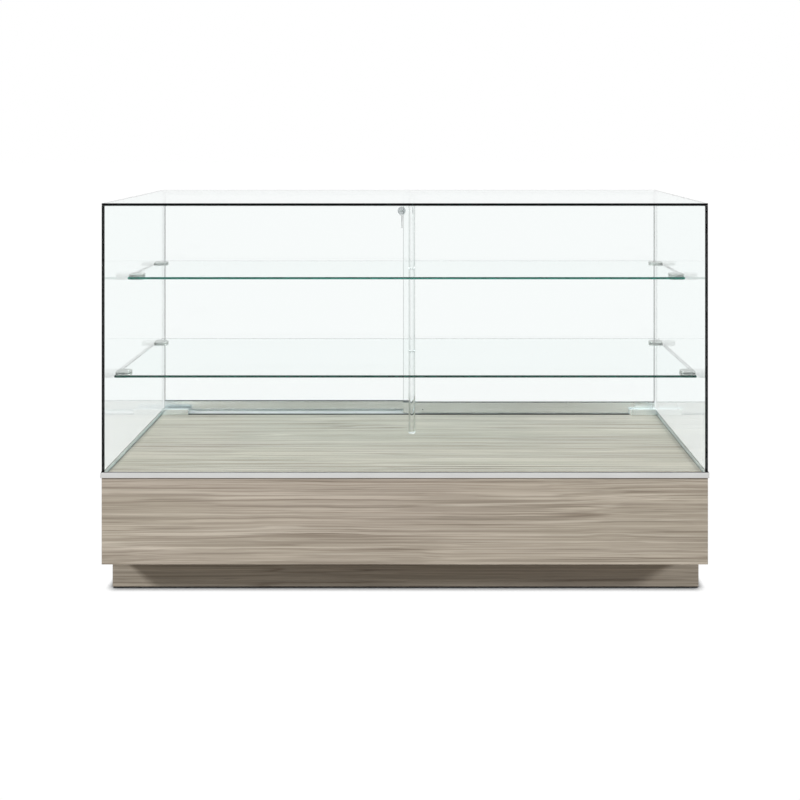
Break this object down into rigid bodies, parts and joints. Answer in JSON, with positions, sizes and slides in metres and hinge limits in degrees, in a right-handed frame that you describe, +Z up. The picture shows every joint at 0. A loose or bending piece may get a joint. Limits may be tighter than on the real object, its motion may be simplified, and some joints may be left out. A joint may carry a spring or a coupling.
{
  "type": "glass display showcase",
  "caption": "Glazed retail counter case with glass shelves, sliding rear glass doors with a key lock, and a wood-grain laminate base on a recessed plinth.",
  "frame": {"origin": "on the floor, at the middle of the object's outline seen from above", "axes": "+X along the width, to the customer's right hand when facing the case from the front; +Y from the customer's side to the staff side with the doors; +Z up"},
  "size_m": [1.5292, 0.5489, 1.0064],
  "materials": {
    "clear_glass": "clear float glass with polished dark green edges",
    "acrylic": "clear polished acrylic",
    "laminate": "matte laminate, fine horizontal weathered-oak grain in warm grey-brown",
    "core_board": "raw particle board",
    "aluminium": "satin anodised extrusion",
    "satin_nickel": "satin nickel plate",
    "seal_rubber": "matte black glazing seal",
    "nylon": "moulded natural nylon",
    "steel": "bright plated steel",
    "chrome": "polished chrome plate"
  },
  "bodies": {
    "showcase": {"front_pane": "clear_glass", "left_pane": "clear_glass", "right_pane": "clear_glass", "top_pane": "clear_glass", "lower_shelf": "clear_glass", "upper_shelf": "clear_glass", "post_lower": "acrylic", "post_middle": "acrylic", "post_upper": "acrylic", "door_guide_upper": "acrylic", "base_front_panel": "laminate", "base_left_panel": "laminate", "base_right_panel": "laminate", "base_rear_panel": "laminate", "deck_panel": "laminate", "plinth_front": "laminate", "plinth_rear": "laminate", "plinth_left": "laminate", "plinth_right": "laminate", "base_bottom_panel": "core_board", "base_centre_brace": "core_board", "trim_front": "aluminium", "trim_left": "aluminium", "trim_right": "aluminium", "door_track_lower": "aluminium", "track_end_block_left": "aluminium", "track_end_block_right": "aluminium", "clip_lower_front_left": "satin_nickel", "clip_lower_front_right": "satin_nickel", "clip_lower_rear_left": "satin_nickel", "clip_lower_rear_right": "satin_nickel", "clip_upper_front_left": "satin_nickel", "clip_upper_front_right": "satin_nickel", "clip_upper_rear_left": "satin_nickel", "clip_upper_rear_right": "satin_nickel", "glazing_seal": "seal_rubber", "glide_front_left": "nylon", "glide_front_right": "nylon", "glide_rear_left": "nylon", "glide_rear_right": "nylon"},
    "left_door": {"left_door_glass": "clear_glass", "left_door_shoe": "aluminium", "left_door_axle_outer": "steel", "left_door_axle_inner": "steel", "lock_barrel": "chrome", "lock_nut": "chrome"},
    "right_door": {"right_door_glass": "clear_glass", "right_door_shoe": "aluminium", "right_door_axle_outer": "steel", "right_door_axle_inner": "steel"},
    "left_wheel_outer": {"left_door_wheel_outer": "nylon"},
    "left_wheel_inner": {"left_door_wheel_inner": "nylon"},
    "right_wheel_outer": {"right_door_wheel_outer": "nylon"},
    "right_wheel_inner": {"right_door_wheel_inner": "nylon"},
    "lock_key": {"lock_plug": "steel", "key": "steel"},
    "bolt": {"lock_bolt": "steel"},
    "ring": {"key_ring": "steel"},
    "spare": {"spare_key": "steel"}
  },
  "joints": [
    {"name": "left_door_slide", "type": "slide", "parent": "showcase", "child": "left_door", "axis": [-1, 0, 0], "range_m": [-0.735, 0]},
    {"name": "right_door_slide", "type": "slide", "parent": "showcase", "child": "right_door", "axis": [1, 0, 0], "range_m": [-0.735, 0]},
    {"name": "left_wheel_outer_spin", "type": "hinge", "parent": "left_door", "child": "left_wheel_outer", "pos_m": [-0.693, 0.22815, 0.3348], "axis": [0, 1, 0], "continuous": true},
    {"name": "left_wheel_inner_spin", "type": "hinge", "parent": "left_door", "child": "left_wheel_inner", "pos_m": [-0.0426, 0.22815, 0.3348], "axis": [0, 1, 0], "continuous": true},
    {"name": "right_wheel_outer_spin", "type": "hinge", "parent": "right_door", "child": "right_wheel_outer", "pos_m": [0.693, 0.21415, 0.3348], "axis": [0, 1, 0], "continuous": true},
    {"name": "right_wheel_inner_spin", "type": "hinge", "parent": "right_door", "child": "right_wheel_inner", "pos_m": [0.0426, 0.21415, 0.3348], "axis": [0, 1, 0], "continuous": true},
    {"name": "key_turn", "type": "hinge", "parent": "left_door", "child": "lock_key", "pos_m": [-0.023, 0.23815, 0.9425], "axis": [0, 1, 0], "range_deg": [0, 90]},
    {"name": "lock_bolt_throw", "type": "slide", "parent": "left_door", "child": "bolt", "axis": [0, -1, 0], "range_m": [0, 0.006]},
    {"name": "key_ring_swing", "type": "hinge", "parent": "lock_key", "child": "ring", "pos_m": [-0.023, 0.26445, 0.9409], "axis": [1, 0, 0], "range_deg": [-10, 60]},
    {"name": "spare_key_swing", "type": "hinge", "parent": "ring", "child": "spare", "pos_m": [-0.023, 0.26445, 0.9229], "axis": [1, 0, 0], "range_deg": [-10, 60]}
  ],
  "couplings": [
    {"joint": "left_wheel_outer_spin", "follows": "left_door_slide", "rad_per_m": -200},
    {"joint": "left_wheel_inner_spin", "follows": "left_door_slide", "rad_per_m": -200},
    {"joint": "right_wheel_outer_spin", "follows": "right_door_slide", "rad_per_m": 200},
    {"joint": "right_wheel_inner_spin", "follows": "right_door_slide", "rad_per_m": 200},
    {"joint": "lock_bolt_throw", "follows": "key_turn", "m_per_rad": 0.0038}
  ]
}
